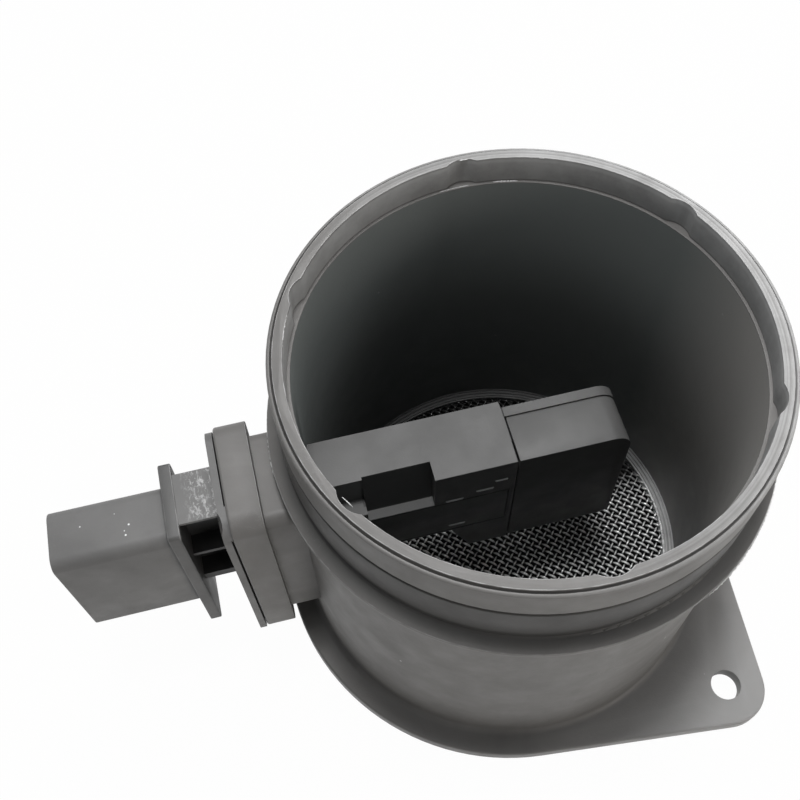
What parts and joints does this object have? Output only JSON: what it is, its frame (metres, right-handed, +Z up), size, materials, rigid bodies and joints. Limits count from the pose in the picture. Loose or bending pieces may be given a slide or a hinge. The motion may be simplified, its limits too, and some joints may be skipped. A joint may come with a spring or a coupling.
{
  "type": "mass airflow sensor",
  "caption": "Moulded flow tube with a hose neck, an eared mounting flange and a woven inlet screen, and a plug-in probe with its connector that meters an engine's intake air.",
  "frame": {"origin": "centre of the tube in the plane of the flange's underside", "axes": "+Z up along the tube's axis from the flange to the hose neck, -X towards the connector, +Y away from the viewer"},
  "size_m": [0.1365, 0.1054, 0.084],
  "materials": {
    "housing_plastic": "moulded, matt",
    "insert_plastic": "moulded, matt",
    "cover_plastic": "moulded, satin",
    "ring_metal": "pressed",
    "screen_wire": "drawn wire",
    "screw_steel": "plated",
    "seal_rubber": "soft",
    "plate_metal": "rolled",
    "board_ceramic": "fired ceramic",
    "chip_resin": "moulded resin",
    "chip_silicon": "polished",
    "capacitor_ceramic": "fired ceramic",
    "bead_glass": "glazed",
    "terminal_metal": "tinned",
    "wire_metal": "drawn"
  },
  "bodies": {
    "root": {"tube_housing": "housing_plastic", "screen_ring": "ring_metal", "inlet_screen": "screen_wire", "flange_seal": "seal_rubber", "insert_body": "insert_plastic", "insert_seal": "seal_rubber", "mounting_screws": "screw_steel", "electronics_cover": "cover_plastic", "bypass_cover": "cover_plastic", "base_plate": "plate_metal", "circuit_board": "board_ceramic", "evaluation_chip": "chip_resin", "sensor_carrier": "board_ceramic", "sensor_chip": "chip_silicon", "air_temperature_sensor": "bead_glass", "capacitor_1": "capacitor_ceramic", "capacitor_2": "capacitor_ceramic", "capacitor_3": "capacitor_ceramic", "terminal_1": "terminal_metal", "bond_wire_1": "wire_metal", "terminal_2": "terminal_metal", "bond_wire_2": "wire_metal", "terminal_3": "terminal_metal", "bond_wire_3": "wire_metal", "terminal_4": "terminal_metal", "bond_wire_4": "wire_metal", "terminal_5": "terminal_metal", "bond_wire_5": "wire_metal"}
  },
  "joints": []
}
